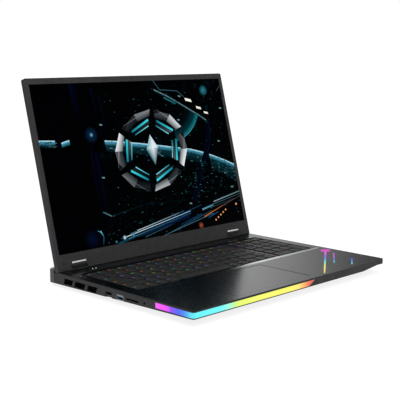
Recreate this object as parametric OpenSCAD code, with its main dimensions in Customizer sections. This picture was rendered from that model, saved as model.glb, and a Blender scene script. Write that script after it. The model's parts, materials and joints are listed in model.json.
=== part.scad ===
// Gaming laptop of the 18-inch class with its lid open, as an assembly of separate pieces.
//
// Modules below work in laptop coordinates: x runs to the user's right, y runs backwards from the
// front edge and z runs up from the table. base_frame() moves that to the part's own frame, whose
// origin is under the middle of the open laptop. lid_frame() holds the lid upright on its hinge
// axis: x to the right, y towards the lid's back and z up the lid.

/* [Base] */
// Width of the base
base_w = 404; // [403:0.5:408]
// Height of the deck above the table
deck_z = 21; // [21:0.25:23]
// Depth of the case in front of the exhaust block
case_d = 283.4; // [283.4:0.1:284]
// Depth of the exhaust block behind the case
block_d = 20.6; // [20:0.2:24]
// Height of the exhaust block's top above the deck
block_rise = 3.6; // [3.4:0.1:3.6]
// Wall thickness of the side frame
wall = 2.2; // [2:0.1:2.6]
// Thickness of the deck plate
deck_t = 1.5; // [1.2:0.1:1.5]
// Radius of the front corners, seen from above
corner_r = 4; // [4:0.5:8]
// Height of the side frame at the front edge
front_drop = 11.2; // [11:0.2:12]
// Height of the side frame where it meets the exhaust block
rear_drop = 16.4; // [16:0.2:16.6]

/* [Lid] */
// Width of the lid
lid_w = 403.6; // [398:0.2:403.6]
// Length of the lid from the hinge axis to its top edge
lid_len = 276.2; // [275:0.2:276.2]
// Thickness of the lid
lid_t = 7.15; // [7:0.05:7.4]
// Radius of the lid's upper corners
lid_r = 3; // [2.5:0.5:6]
// Angle by which the open lid leans back from upright
lid_tilt = 14.75; // [5:0.25:40]
// Width of the picture area
screen_w = 390.1; // [386:0.1:391]
// Height of the picture area
screen_h = 247.4; // [242:0.1:248]
// Distance from the hinge axis to the picture's lower edge
screen_low = 20; // [19:0.5:20]

/* [Hinges] */
// Distance of the hinge axis from the front edge
axis_y = 276.2; // [276.2:0.1:276.4]
// Height of the hinge axis above the deck
axis_rise = 3.3; // [3.3:0.05:3.4]
// Depth of the hinge axis behind the lid's front face
axis_in = 2.7; // [2.7:0.05:2.75]
// Radius of the hinge pins
pin_r = 2; // [1.8:0.1:2]
// Radial clearance of the pins in the base knuckles
pin_gap = 0.05; // [0.02:0.01:0.08]
// Distance of each hinge's inner end from the middle
hinge_in = 147; // [140:1:150]
// Length of each hinge cover
hinge_l = 31; // [31:1:36]

/* [Keyboard] */
// Pitch of a one-unit key across the keyboard
key_pitch = 18.85; // [18.4:0.05:18.9]
// Pitch of the rows of full-size keys
row_pitch = 20; // [19.6:0.1:20]
// Gap between neighbouring caps
key_gap = 3; // [2.4:0.1:3.4]
// Travel of the keys
key_travel = 1.5; // [1.2:0.1:1.5]
// Depth of a function key's cap
function_cap = 13; // [12:0.5:13.5]
// Front edge of the front row
keys_front = 126; // [125:0.5:127]

/* [Touchpad] */
// Width of the touchpad
pad_w = 151; // [130:1:152]
// Depth of the touchpad
pad_d = 93; // [85:1:93]
// Distance of the touchpad's centre to the left of the middle
pad_left = 37.5; // [30:0.5:40]
// Distance of the touchpad's front edge from the front of the base
pad_front = 12.5; // [11:0.5:14]

/* [Light bar] */
// Length of the light bar along the left side
bar_side = 68.6; // [50:0.2:72]
// Drop from the deck to the light bar's top
bar_top = 2.8; // [2.6:0.1:4]
// Height of the light bar
bar_h = 7; // [6:0.1:7.2]

/* [Cooling] */
// Radius of each fan's blades
fan_r = 35; // [30:1:36]
// Distance of each fan's centre from the middle
fan_x = 118; // [112:1:122]
// Number of blades on each fan
fan_blades = 29; // [15:1:37]

/* [Hidden] */
$fn = 48;

half_w = base_w / 2;
base_d = case_d + block_d;
axis_z = deck_z + axis_rise;
lid_front = -axis_in;
lid_back = lid_t - axis_in;
// The open laptop reaches back to the lid's upper rear edge, and the origin is under its middle.
open_depth = axis_y + lid_len * sin(lid_tilt) + lid_back * cos(lid_tilt);

lip_r = lid_back;
cover_r = 5.2;
cover_top = 5.4;
knuckle_r = 3.4;
arm_x = [hinge_in + 6, hinge_in + 18];
trough_y = axis_y - cover_r - 0.4;
trough_drop = 2.4;
feet_h = 2.5;
cover_t = 1.6;
bead_r = 0.8;

keys_left = -182.5;
numpad_left = keys_left + 15.4 * key_pitch;
cap_top = deck_z - 0.1;
cap_t = 1.5;
web_top = deck_z - deck_t;
web_t = 0.6;
plate_top = cap_top - cap_t - key_travel - 0.4;
plate_t = 1.2;
recess_w = 368;
recess_y = [122.5, 245.5];

letters_rows = [
    [1, 1, 1, 1, 1, 1, 1, 1, 1, 1, 1, 1, 1, 2],
    [1.5, 1, 1, 1, 1, 1, 1, 1, 1, 1, 1, 1, 1, 1.5],
    [1.75, 1, 1, 1, 1, 1, 1, 1, 1, 1, 1, 1, 2.25],
    [2.25, 1, 1, 1, 1, 1, 1, 1, 1, 1, 1, 1.75]
];
modifiers_left = [1.25, 1, 1, 1.25];
space_units = 5.5;

board_z = 9;
board_t = 1.4;
fan_y = 219;
fan_z = 4.6;
fan_h = 11;

// ---- Frames and helpers ----

module base_frame() {
    translate([0, -open_depth / 2, 0]) children();
}

module lid_frame() {
    translate([0, axis_y - open_depth / 2, axis_z]) rotate([-lid_tilt, 0, 0]) children();
}

module both_sides() {
    children();
    mirror([1, 0, 0]) children();
}

// A box from one corner to the other.
module box(low, high) {
    translate(low) cube(high - low);
}

// An extrusion along x of an outline drawn in y and z.
module along_x(x0, x1) {
    translate([x0, 0, 0]) rotate([90, 0, 90]) linear_extrude(x1 - x0) children();
}

// An extrusion along y of an outline drawn in x and z.
module along_y(y0, y1) {
    translate([0, y1, 0]) rotate([90, 0, 0]) linear_extrude(y1 - y0) children();
}

module rod_x(x0, x1, y, z, r) {
    translate([x0, y, z]) rotate([0, 90, 0]) cylinder(r = r, h = x1 - x0);
}

module rod_y(y0, y1, x, z, r) {
    translate([x, y1, z]) rotate([90, 0, 0]) cylinder(r = r, h = y1 - y0);
}

// A rectangle with rounded corners, centred on x and running from y0 to y1.
module round_rect(w, y0, y1, r) {
    translate([-w / 2 + r, y0]) square([w - 2 * r, y1 - y0]);
    translate([-w / 2, y0 + r]) square([w, y1 - y0 - 2 * r]);
    for (x = [-w / 2 + r, w / 2 - r], y = [y0 + r, y1 - r]) translate([x, y]) circle(r);
}

// Outline of the case from above, with round front corners.
module case_outline(inset, back) {
    r = corner_r - inset;
    w = half_w - inset;
    translate([-w, inset + r]) square([2 * w, back - inset - r]);
    translate([-w + r, inset]) square([2 * w - 2 * r, back - inset]);
    for (s = [-1, 1]) translate([s * (w - r), inset + r]) circle(r);
}

// A block with a sloping upper edge and a smaller flat bottom, for the tray of the bottom cover.
module tray_block(top_w, y0, z0, y1, z1, low_w, y2, y3, z2) {
    a = top_w / 2;
    b = low_w / 2;
    polyhedron(
        points = [
            [-a, y0, z0], [a, y0, z0], [a, y1, z1], [-a, y1, z1],
            [-b, y2, z2], [b, y2, z2], [b, y3, z2], [-b, y3, z2]
        ],
        faces = [
            [0, 3, 2, 1], [4, 5, 6, 7],
            [0, 1, 5], [0, 5, 4], [1, 2, 6], [1, 6, 5],
            [2, 3, 7], [2, 7, 6], [3, 0, 4], [3, 4, 7]
        ]
    );
}

// Lower edge of the side frame at a distance y from the front.
function edge_z(y) = deck_z - front_drop - (rear_drop - front_drop) * y / case_d;

// ---- Case ----

module pad_opening(gap) {
    translate([-pad_left, 0]) round_rect(pad_w + 2 * gap, pad_front - gap, pad_front + pad_d + gap, 2);
}

module top_case() base_frame() color("#26282b") difference() {
    union() {
        translate([0, 0, deck_z - deck_t]) linear_extrude(deck_t) difference() {
            case_outline(0, trough_y + deck_t);
            round_rect(recess_w, recess_y[0], recess_y[1], 5);
            pad_opening(0.35);
            round_rect(282, 254, 264.5, 1.5);
        }
        box([-half_w + wall, trough_y, deck_z - trough_drop - deck_t],
            [half_w - wall, trough_y + deck_t, deck_z - deck_t]);
        box([-half_w + wall, trough_y, deck_z - trough_drop - deck_t],
            [half_w - wall, case_d, deck_z - trough_drop]);
    }
    // Notches that the hinge covers swing through.
    both_sides() box([hinge_in - 0.6, axis_y - 7.4, deck_z - 0.9],
                     [hinge_in + hinge_l + 0.6, trough_y + 1, deck_z + 1]);
    for (x = [-151, -145]) translate([x, 259, deck_z - 3]) cylinder(r = 0.9, h = 5);
}

// The wall region that the light bar fills, cut square on the side and slanting on the front.
module bar_zone() {
    low = deck_z - bar_top - bar_h;
    high = deck_z - bar_top;
    box([-half_w - 1, -1, low], [-half_w + corner_r + 1, bar_side, high]);
    along_y(-1, corner_r + 1)
        polygon([[-half_w, low], [21, low], [34.5, high], [-half_w, high]]);
}

module wall_ring() {
    difference() {
        case_outline(0, case_d);
        case_outline(wall, case_d + 1);
    }
}

// Side view of the side frame.
module frame_profile() {
    polygon([
        [-1, edge_z(-1)], [case_d, edge_z(case_d)],
        [case_d, deck_z - deck_t], [-1, deck_z - deck_t]
    ]);
}

// Three side vents with slanting bars between them, as outlines in y and z.
module vent_outlines() {
    low = deck_z - 13.6;
    high = deck_z - 5.2;
    slant = 4;
    for (v = [[238, 260.5], [210, 236.2], [184.5, 208.2]])
        polygon([[v[0] + slant, low], [v[1], low], [v[1] - slant / 2, high], [v[0], high]]);
}

module side_frame() base_frame() color("#47474a") difference() {
    intersection() {
        translate([0, 0, deck_z - rear_drop - 1]) linear_extrude(rear_drop + 1) wall_ring();
        along_x(-half_w - 1, half_w + 1) frame_profile();
    }
    bar_zone();
    corner_cut(0);
    both_sides() along_x(-half_w - 1, -half_w + wall + 1) vent_outlines();
    // Left sockets, from the back to the front.
    box([-half_w - 1, 154.8, deck_z - 17], [-half_w + wall + 1, 167.6, deck_z - 6.6]);
    box([-half_w - 1, 131, deck_z - 13.2], [-half_w + wall + 1, 145, deck_z - 6.6]);
    box([-half_w - 1, 101.5, deck_z - 10.4], [-half_w + wall + 1, 125.5, deck_z - 7.4]);
    rod_x(-half_w - 1, -half_w + wall + 1, 89.6, deck_z - 8, 3.25);
    // Right sockets and the slot for a security lock.
    box([half_w - wall - 1, 131, deck_z - 13.2], [half_w + 1, 145, deck_z - 6.6]);
    box([half_w - wall - 1, 109.5, deck_z - 11.8], [half_w + 1, 119.5, deck_z - 8]);
    box([half_w - wall - 1, 265, deck_z - 12], [half_w + 1, 272, deck_z - 9]);
}

module screw_places() {
    for (x = [-165, -50, 50, 165]) translate([x, 38.5, 0]) children();
    for (x = [-165, 0, 165]) translate([x, 150, 0]) children();
    for (x = [-165, -60, 60, 165]) translate([x, 246, 0]) children();
}

// The case is cut away under its front right corner by two planes. Each gives the cut's height.
function corner_plane(y) = deck_z - 7.5 - 0.16 * y;
function ramp_plane(x, y) = deck_z - front_drop + 0.104 * (x - half_w + 52.5) - 0.15 * y;

// Everything below both planes, raised by lift.
module corner_cut(lift) {
    x0 = 100;
    x1 = half_w + 2;
    y0 = -1;
    y1 = 90;
    low = -30;
    // Where the two planes meet, at a distance y from the front.
    function crease(y) = half_w - 52.5 + (corner_plane(y) + 0.15 * y - deck_z + front_drop) / 0.104;
    polyhedron(
        points = [
            [x0, y0, low], [crease(y0), y0, low], [x1, y0, low],
            [x1, y1, low], [crease(y1), y1, low], [x0, y1, low],
            [x0, y0, ramp_plane(x0, y0) + lift], [crease(y0), y0, corner_plane(y0) + lift],
            [x1, y0, corner_plane(y0) + lift], [x1, y1, corner_plane(y1) + lift],
            [crease(y1), y1, corner_plane(y1) + lift], [x0, y1, ramp_plane(x0, y1) + lift]
        ],
        faces = [
            [0, 1, 2, 3, 4, 5], [6, 11, 10, 7], [7, 10, 9, 8],
            [0, 6, 7, 1], [1, 7, 8, 2], [2, 8, 9, 3], [3, 9, 10, 4], [4, 10, 11, 5], [5, 11, 6, 0]
        ]
    );
}

// Slanting sheet that closes the case over the cut-away corner, above the tray's rim.
module corner_sheet() {
    intersection() {
        linear_extrude(deck_z) case_outline(wall + 0.1, 60);
        along_x(100, half_w) polygon([[0, edge_z(0) - 0.3], [60, edge_z(60) - 0.3], [60, deck_z], [0, deck_z]]);
        corner_cut(cover_t);
    }
}

module bottom_cover() base_frame() color("#222325") difference() {
    top_w = base_w - 1.2;
    union() {
        difference() {
            tray_block(top_w, 0.6, edge_z(0.6), case_d, edge_z(case_d), 344, 34, 272, feet_h);
            difference() {
                tray_block(top_w - 5, 2.6, edge_z(2.6) + 0.1, case_d + 1, edge_z(case_d + 1) + 0.1,
                           344 - 0.6, 34.3, 271.5, feet_h + cover_t);
                // Ribs across the tray.
                for (y = [18, 125]) box([-half_w, y, 0], [half_w, y + 1.6, deck_z - 12.4]);
                corner_cut(cover_t);
            }
        }
        corner_sheet();
    }
    corner_cut(0);
    // Gap that the network socket's jaw drops through.
    box([-half_w - 1, 154.8, 0], [-half_w + 16.4, 167.6, deck_z]);
    // Windows over the fans, which the vent screens fill.
    for (s = [-1, 1]) translate([s * fan_x, 0, feet_h - 1])
        linear_extrude(cover_t + 2) round_rect(76, fan_y - 36, fan_y + 36, 4);
    screw_places() cylinder(r = 1.5, h = 12);
}

// ---- Exhaust block ----

module block_outline(inset) {
    w = half_w - inset;
    back = base_d - inset;
    cut = 12;
    polygon([[-w, case_d], [w, case_d], [w, back - cut], [w - cut, back], [-w + cut, back], [-w, back - cut]]);
}

module block_profile(inset) {
    low = deck_z - rear_drop + inset;
    high = deck_z + block_rise - inset;
    back = base_d - inset;
    // The top slopes down to the back.
    drop = 2.4;
    polygon([
        [case_d - 1, low], [base_d - 9, low], [back, low + 4.5], [back, high - drop - 1.4],
        [back - 1.4, high - drop], [case_d + 3, high], [case_d - 1, high]
    ]);
}

module block_solid(inset) {
    intersection() {
        linear_extrude(deck_z + 10) block_outline(inset);
        along_x(-half_w - 1, half_w + 1) block_profile(inset);
    }
}

grille_x = [62, 186];
grille_z = [deck_z - 11.4, deck_z - 1.8];

module exhaust_block() base_frame() color("#55565a") difference() {
    block_solid(0);
    // Hollow inside, open to the case below the trough.
    intersection() {
        translate([0, 1.6, 0]) block_solid(1.6);
        box([-half_w, case_d, 0], [half_w, base_d - 1.6, deck_z + 10]);
    }
    box([-half_w + 1.6, case_d - 1, deck_z - rear_drop + 1.6],
        [half_w - 1.6, case_d + 3, deck_z - trough_drop - deck_t]);
    both_sides() box([grille_x[0], base_d - 4, grille_z[0]], [grille_x[1], base_d + 1, grille_z[1]]);
    // Slots for the hinge arms.
    both_sides() box([arm_x[0] - 0.05, case_d - 1, deck_z - 0.05],
                     [arm_x[1] + 0.05, case_d + 1.65, deck_z + block_rise + 1]);
    // Sockets in the middle of the back.
    box([-47, base_d - 4, deck_z - 9.6], [-31.8, base_d + 1, deck_z - 3.6]);
    for (x = [-13, 5]) box([x - 5, base_d - 4, deck_z - 8.6], [x + 5, base_d + 1, deck_z - 4.8]);
    box([29, base_d - 4, deck_z - 10], [42, base_d + 1, deck_z - 3.4]);
}

// Upright fins across each exhaust opening, joined by a rail above and below.
module exhaust_grilles() base_frame() color("#3a3b3e") both_sides() {
    pitch = 4;
    y = [base_d - 3.6, base_d - 0.6];
    rail = 1.2;
    union() {
        for (z = [grille_z[0], grille_z[1] - rail])
            box([grille_x[0], y[0], z], [grille_x[1], y[1], z + rail]);
        for (x = [grille_x[0] : pitch : grille_x[1] - 1.2])
            box([x, y[0], grille_z[0]], [x + 1.2, y[1], grille_z[1]]);
    }
}

// Flat screens in the fan windows and behind the side vents.
module vent_screens() base_frame() color("#18191a") {
    for (s = [-1, 1]) translate([s * fan_x, 0, feet_h + 0.2]) linear_extrude(1.2) difference() {
        round_rect(76, fan_y - 36, fan_y + 36, 4);
        for (y = [fan_y - 31 : 5 : fan_y + 31], x = [-19, 19])
            translate([x - 16, y]) square([32, 2.2]);
    }
    both_sides() along_x(-half_w + wall, -half_w + wall + 0.8) difference() {
        polygon([[182.5, deck_z - 14.2], [262.5, deck_z - 14.2], [262.5, deck_z - 4.6], [182.5, deck_z - 4.6]]);
        for (y = [186 : 4 : 258]) translate([y, deck_z - 13]) square([2.4, 7.2]);
    }
}

// Row of small slots in the strip behind the keyboard.
module deck_grille() base_frame() color("#1a1b1d")
    translate([0, 0, deck_z - deck_t]) linear_extrude(deck_t - 0.2) difference() {
        round_rect(282, 254, 264.5, 1.5);
        for (x = [-138 : 4 : 138], y = [255.6, 258.4, 261.2])
            translate([x - 1.2, y]) square([2.4, 1.4]);
    }

// ---- Light bar ----

module light_bar() base_frame() color("#e060e0") intersection() {
    translate([0, 0, deck_z - bar_top - bar_h - 1]) linear_extrude(bar_h + 2) wall_ring();
    bar_zone();
}

module light_bar_board() base_frame() color("#1c4a2a") {
    z = deck_z - bar_top - bar_h / 2;
    inner = -half_w + wall;
    union() {
        box([inner + 1.4, 6.4, z - 2.6], [inner + 2.2, bar_side - 3, z + 2.6]);
        box([inner + 1.4, wall + 1.4, z - 2.6], [20, wall + 2.2, z + 2.6]);
        box([inner + 1.4, wall + 1.4, z - 2.6], [inner + 2.2, 8, z + 2.6]);
    }
}

// ---- Keyboard ----

// Sum of the first n entries of a list.
function sum_to(v, n) = n <= 0 ? 0 : v[n - 1] + sum_to(v, n - 1);

// Front edge of a row, counted from the front; row 5 is the function row.
function row_y(row) = keys_front + row * row_pitch + (row == 5 ? 1.5 : 0);

// Footprint of one cap, grown by gap all round.
module cap_shape(x, y, units, depth, gap) {
    translate([x + key_gap / 2 - gap, y - gap])
        square([units * key_pitch - key_gap + 2 * gap, depth + 2 * gap]);
}

module row_shapes(widths, left, row, gap, depth = row_pitch - key_gap) {
    for (i = [0 : len(widths) - 1])
        cap_shape(left + sum_to(widths, i) * key_pitch, row_y(row), widths[i], depth, gap);
}

module letter_row_shapes(i, gap) row_shapes(letters_rows[i], keys_left, 4 - i, gap);

module function_shapes(gap) {
    row_shapes([for (i = [1 : 15]) 1], keys_left, 5, gap, function_cap);
    row_shapes([1, 1, 1], numpad_left, 5, gap, function_cap);
}

module power_shape(gap) cap_shape(numpad_left + 3 * key_pitch, row_y(5), 1, function_cap, gap);

module left_modifier_shapes(gap) row_shapes(modifiers_left, keys_left, 0, gap);

module space_shape(gap) {
    left = keys_left + sum_to(modifiers_left, 4) * key_pitch;
    cap_shape(left, row_y(0), space_units, row_pitch - key_gap, gap);
}

module right_modifier_shapes(gap) row_shapes([1, 1], keys_left + 10 * key_pitch, 0, gap);

module arrow_shapes(gap) {
    row_shapes([1, 1, 1], keys_left + 12 * key_pitch, 0, gap);
    cap_shape(keys_left + 14 * key_pitch, row_y(1), 1, row_pitch - key_gap, gap);
}

module numpad_shapes(gap) {
    full = row_pitch - key_gap;
    row_shapes([1, 1, 1, 1], numpad_left, 4, gap);
    for (row = [2, 3]) row_shapes([1, 1, 1], numpad_left, row, gap);
    row_shapes([1, 1, 1], numpad_left, 1, gap);
    row_shapes([2, 1], numpad_left, 0, gap);
    for (row = [0, 2])
        cap_shape(numpad_left + 3 * key_pitch, row_y(row), 1, full + row_pitch, gap);
}

module caps() {
    base_frame() translate([0, 0, cap_top - cap_t]) linear_extrude(cap_t) children();
}

module function_keys() color("#1d1e20") caps() function_shapes(0);
module number_keys() color("#1d1e20") caps() letter_row_shapes(0, 0);
module upper_letter_keys() color("#1d1e20") caps() letter_row_shapes(1, 0);
module home_letter_keys() color("#1d1e20") caps() letter_row_shapes(2, 0);
// The right shift key shares its place with the up arrow, which moves with the arrow keys.
module lower_letter_keys() color("#1d1e20") caps() letter_row_shapes(3, 0);
module left_modifier_keys() color("#1d1e20") caps() left_modifier_shapes(0);
module space_bar() color("#1d1e20") caps() space_shape(0);
module right_modifier_keys() color("#1d1e20") caps() right_modifier_shapes(0);
module arrow_keys() color("#1d1e20") caps() arrow_shapes(0);
module numpad_keys() color("#1d1e20") caps() numpad_shapes(0);
module power_button() color("#2a2b2e") caps() power_shape(0);

// Thin sheet under the deck with a hole round every key.
module key_web() base_frame() color("#131415")
    translate([0, 0, web_top - web_t]) linear_extrude(web_t) difference() {
        gap = 0.4;
        translate([-recess_w / 2 - 2, recess_y[0] - 2])
            square([recess_w + 4, recess_y[1] - recess_y[0] + 4]);
        function_shapes(gap);
        power_shape(gap);
        for (i = [0 : 3]) letter_row_shapes(i, gap);
        left_modifier_shapes(gap);
        space_shape(gap);
        right_modifier_shapes(gap);
        arrow_shapes(gap);
        numpad_shapes(gap);
    }

module keyboard_plate() base_frame() color("#101112")
    box([-recess_w / 2 - 2, recess_y[0] - 2, plate_top - plate_t],
        [recess_w / 2 + 2, recess_y[1] + 2, plate_top]);

module status_lights() base_frame() color("#dfe6ea")
    for (x = [-151, -145]) translate([x, 259, deck_z - 2.4]) cylinder(r = 0.85, h = 2.4);

// Plate that clicks down at the front, on a bead along its rear edge.
module touchpad() base_frame() color("#1f2124") {
    translate([0, 0, deck_z - 1.7]) linear_extrude(1.6) pad_opening(0);
    rod_x(-pad_left - 60, -pad_left + 60, pad_front + pad_d - bead_r, deck_z - 1.7, bead_r);
}

// ---- Sockets ----

// A metal shell with a tongue inside, its mouth at x = 0 facing -x, centred on y and z.
module tongue_socket(w, h, depth, skin, tongue_w, tongue_h, tongue_z) {
    difference() {
        box([0, -w / 2, -h / 2], [depth, w / 2, h / 2]);
        box([-1, -w / 2 + skin, -h / 2 + skin], [depth - 1.5, w / 2 - skin, h / 2 - skin]);
    }
    box([1, -tongue_w / 2, tongue_z], [depth - 1.5, tongue_w / 2, tongue_z + tongue_h]);
}

module usb_a_socket() tongue_socket(14, 6.6, 14, 0.7, 11.4, 1.9, 0.4);
module usb_c_socket() tongue_socket(10, 3.8, 9, 0.5, 6.6, 0.8, -0.4);

module usb_port_left() base_frame() color("#c9d2dc")
    translate([-half_w + 0.4, 138, deck_z - 9.9]) usb_a_socket();

module usb_ports_right() base_frame() color("#c9d2dc") {
    translate([half_w - 0.4, 138, deck_z - 9.9]) mirror([1, 0, 0]) usb_a_socket();
    translate([half_w - 0.4, 114.5, deck_z - 9.9]) mirror([1, 0, 0]) usb_c_socket();
}

// The network socket's body: roof, back, two cheeks and a row of contacts. The jaw is its floor.
module network_jack() base_frame() color("#2a2a2c") {
    x = -half_w + 0.4;
    difference() {
        box([x, 154.8, deck_z - 13.9], [x + 16, 167.6, deck_z - 5.6]);
        box([x - 1, 155.4, deck_z - 15], [x + 14.4, 167, deck_z - 6.6]);
        box([x - 1, 154, deck_z - 6.6], [-half_w + wall, 168, deck_z - 5]);
    }
    for (i = [0 : 7])
        box([x + 9, 157.2 + i * 1.1, deck_z - 7.2], [x + 14.4, 157.6 + i * 1.1, deck_z - 6.6]);
    rod_y(155.4, 167, x + 12.3, deck_z - 12.6, 0.45);
}

// Spring-loaded lower jaw that drops to make room for a full-height plug.
module network_jack_jaw() base_frame() color("#3b3b3e") {
    x = -half_w + 0.7;
    difference() {
        union() {
            box([x, 155.7, deck_z - 13.4], [x + 1.2, 166.7, deck_z - 10.2]);
            box([x, 155.7, deck_z - 13.4], [x + 11, 166.7, deck_z - 12.4]);
            rod_y(155.7, 166.7, x + 12, deck_z - 12.6, 0.95);
            box([x + 11, 155.7, deck_z - 13.4], [x + 12, 166.7, deck_z - 12.4]);
        }
        rod_y(155, 167, x + 12, deck_z - 12.6, 0.5);
    }
}

module card_slot() base_frame() color("#141415") difference() {
    box([-half_w + 0.5, 101.5, deck_z - 10.4], [-half_w + 27, 125.5, deck_z - 7.4]);
    box([-half_w, 102, deck_z - 10], [-half_w + 25, 125, deck_z - 7.8]);
}

module audio_jack() base_frame() color("#151516") difference() {
    union() {
        rod_x(-half_w + 0.3, -half_w + 3, 89.6, deck_z - 8, 3.2);
        box([-half_w + wall, 85.6, deck_z - 11], [-half_w + 16, 93.6, deck_z - 5]);
    }
    rod_x(-half_w - 1, -half_w + 14.3, 89.6, deck_z - 8, 1.8);
}

// Sockets in the exhaust block, with their mouths to the back.
module rear_place(x, z) {
    translate([x, base_d - 0.4, z]) rotate([0, 0, -90]) children();
}

module video_port() base_frame() color("#b9bfc6")
    rear_place(-39.4, deck_z - 6.6) tongue_socket(15.2, 6, 12, 0.7, 11.4, 1.2, -0.9);

module usb_c_ports_rear() base_frame() color("#b9bfc6")
    for (x = [-13, 5]) rear_place(x, deck_z - 6.7) usb_c_socket();

module power_inlet() base_frame() color("#d8a020")
    rear_place(35.5, deck_z - 6.7) tongue_socket(13, 6.6, 13, 0.8, 7, 1.4, -0.7);

// ---- Boards and cooling ----

module main_board() base_frame() color("#16361f")
    translate([0, 0, board_z]) linear_extrude(board_t) difference() {
        union() {
            translate([-185, 128]) square([370, 50]);
            translate([-72, 170]) square([144, 86]);
        }
        for (s = [-1, 1]) translate([s * 186, 178]) circle(6);
    }

module processor() base_frame() color("#9aa0a6") {
    box([-44, 200, board_z + board_t], [-8, 236, board_z + board_t + 0.8]);
    box([-34, 208, board_z + board_t + 0.8], [-16, 228, board_z + board_t + 1.6]);
}

module graphics_chip() base_frame() color("#8d9298") {
    box([6, 194, board_z + board_t], [48, 236, board_z + board_t + 0.8]);
    box([15, 203, board_z + board_t + 0.8], [39, 227, board_z + board_t + 1.6]);
}

module heat_pipes() base_frame() color("#b87333") {
    base = board_z + board_t + 1.6;
    union() {
        box([-62, 186, base], [62, 262, base + 2]);
        rod_x(-182, 182, 262.5, 11.4, 2.6);
        for (x = [-50, 50]) rod_y(184, 262.5, x, base + 1.6, 2);
    }
}

// Stacks of thin fins behind the exhaust openings and beside the side vents.
module heat_sinks() base_frame() color("#a6a8ab") both_sides() {
    union() {
        for (z = [5, 15]) box([64, 265.2, z], [184, 282, z + 0.6]);
        for (x = [64 : 4 : 184]) box([x - 0.3, 265.2, 5], [x + 0.3, 282, 15.6]);
    }
    union() {
        for (z = [8, 15.6]) box([187, 187, z], [198, 257, z + 0.6]);
        for (y = [187 : 5 : 257]) box([187, y - 0.3, 8], [198, y + 0.3, 16.2]);
    }
}

module fan_housings() base_frame() color("#2b2b2d") both_sides() translate([fan_x, fan_y, fan_z]) {
    difference() {
        box([-41, -39, 0], [41, 39.5, fan_h]);
        box([-39.6, -37.6, 1], [39.6, 45, fan_h - 1]);
        translate([0, 0, fan_h - 2]) cylinder(r = 24, h = 4);
        translate([0, 0, -1]) cylinder(r = 24, h = 4);
    }
    // Spider that carries the motor.
    rotate([0, 0, 20]) box([-40, -2, 0], [40, 2, 0.8]);
    cylinder(r = 9, h = 1);
}

module fan_rotor(x) {
    translate([x, fan_y, fan_z]) {
        translate([0, 0, 1.4]) cylinder(r = 13, h = 7.6);
        for (i = [0 : fan_blades - 1]) rotate([0, 0, i * 360 / fan_blades])
            translate([11, 0, 2]) rotate([0, 0, 14]) box([0, -0.25, 0], [fan_r - 12.4, 0.25, 6]);
    }
}

module fan_rotor_left() base_frame() color("#141517") union() fan_rotor(-fan_x);
module fan_rotor_right() base_frame() color("#141517") union() fan_rotor(fan_x);

module battery_pack() base_frame() color("#202124") {
    for (i = [0 : 3]) box([-128 + i * 64.4, 44, 4.7], [-128 + i * 64.4 + 62.8, 116, 12.4]);
    box([-128, 116, 5], [128, 119, 11]);
}

module speakers() base_frame() color("#1b1c1e") both_sides() difference() {
    box([131, 56, 6], [176, 100, 13.6]);
    translate([153.5, 78, 5]) cylinder(r = 15, h = 3);
}

module storage_drive() base_frame() color("#1e3d2a") {
    box([-90, 134, board_z + board_t + 1.4], [-10, 156, board_z + board_t + 3.8]);
    box([-90, 134, board_z + board_t], [-82, 156, board_z + board_t + 1.4]);
}

module memory_modules() base_frame() color("#25472f") {
    for (z = [0, 3]) box([30, 134, board_z + board_t + 0.4 + z], [99.6, 164, board_z + board_t + 1.6 + z]);
    box([30, 164, board_z + board_t], [99.6, 168, board_z + board_t + 5.2]);
}

// ---- Feet and screws ----

module rubber_feet() base_frame() color("#0f0f10") both_sides() {
    translate([110, 0, 0]) linear_extrude(feet_h) round_rect(100, 44, 54, 3);
    translate([140, 0, 0]) linear_extrude(feet_h) round_rect(64, 258, 268, 3);
}

module case_screws() base_frame() color("#3c3d40") screw_places() {
    translate([0, 0, feet_h - 0.9]) cylinder(r = 2.6, h = 0.9);
    translate([0, 0, feet_h - 0.2]) cylinder(r = 1.4, h = 6);
}

// ---- Hinges ----

module hinge_base_brackets() base_frame() color("#6d6f73") both_sides() difference() {
    union() {
        rod_x(arm_x[0], arm_x[1], axis_y, axis_z, knuckle_r);
        box([arm_x[0], axis_y, axis_z - 1.7], [arm_x[1], case_d + 1.6, axis_z + 0.1]);
        box([arm_x[0], case_d, deck_z], [arm_x[1], case_d + 1.6, axis_z + 0.1]);
        box([arm_x[0] - 8, case_d + 1.65, deck_z - 1.2], [arm_x[1] + 8, base_d - 6, deck_z + 0.3]);
        box([arm_x[0], case_d + 1, deck_z], [arm_x[1], case_d + 2.6, deck_z + 1.9]);
    }
    rod_x(arm_x[0] - 1, arm_x[1] + 1, axis_y, axis_z, pin_r + pin_gap);
}

hinge_span = [hinge_in + 1.4, hinge_in + hinge_l - 1.4];

module hinge_lid_brackets() lid_frame() color("#6d6f73") both_sides() difference() {
    union() {
        for (x = [[hinge_span[0], arm_x[0] - 0.4], [arm_x[1] + 0.4, hinge_span[1]]]) {
            rod_x(x[0], x[1], 0, 0, knuckle_r);
            box([x[0], 1.9, 0], [x[1], 3.2, 8]);
        }
        box([hinge_span[0], 1.9, 7], [hinge_span[1], 3.2, 34]);
    }
    rod_x(hinge_span[0] - 1, hinge_span[1] + 1, 0, 0, pin_r);
    for (x = [hinge_span[0] + 6, hinge_span[1] - 6], z = [14, 28]) rod_y(0, 5, x, z, 1.3);
}

module hinge_pins() lid_frame() color("#b0b2b5") both_sides()
    rod_x(hinge_span[0], hinge_span[1], 0, 0, pin_r);

// Profile of the hinge cover in y and z: a round nose below and a flat front and back above.
module cover_profile() {
    intersection() {
        union() {
            circle(cover_r);
            translate([-10, 0]) square([10 + lid_back, cover_top]);
        }
        translate([lid_front - 0.5, -10]) square([20, 20]);
    }
}

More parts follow.
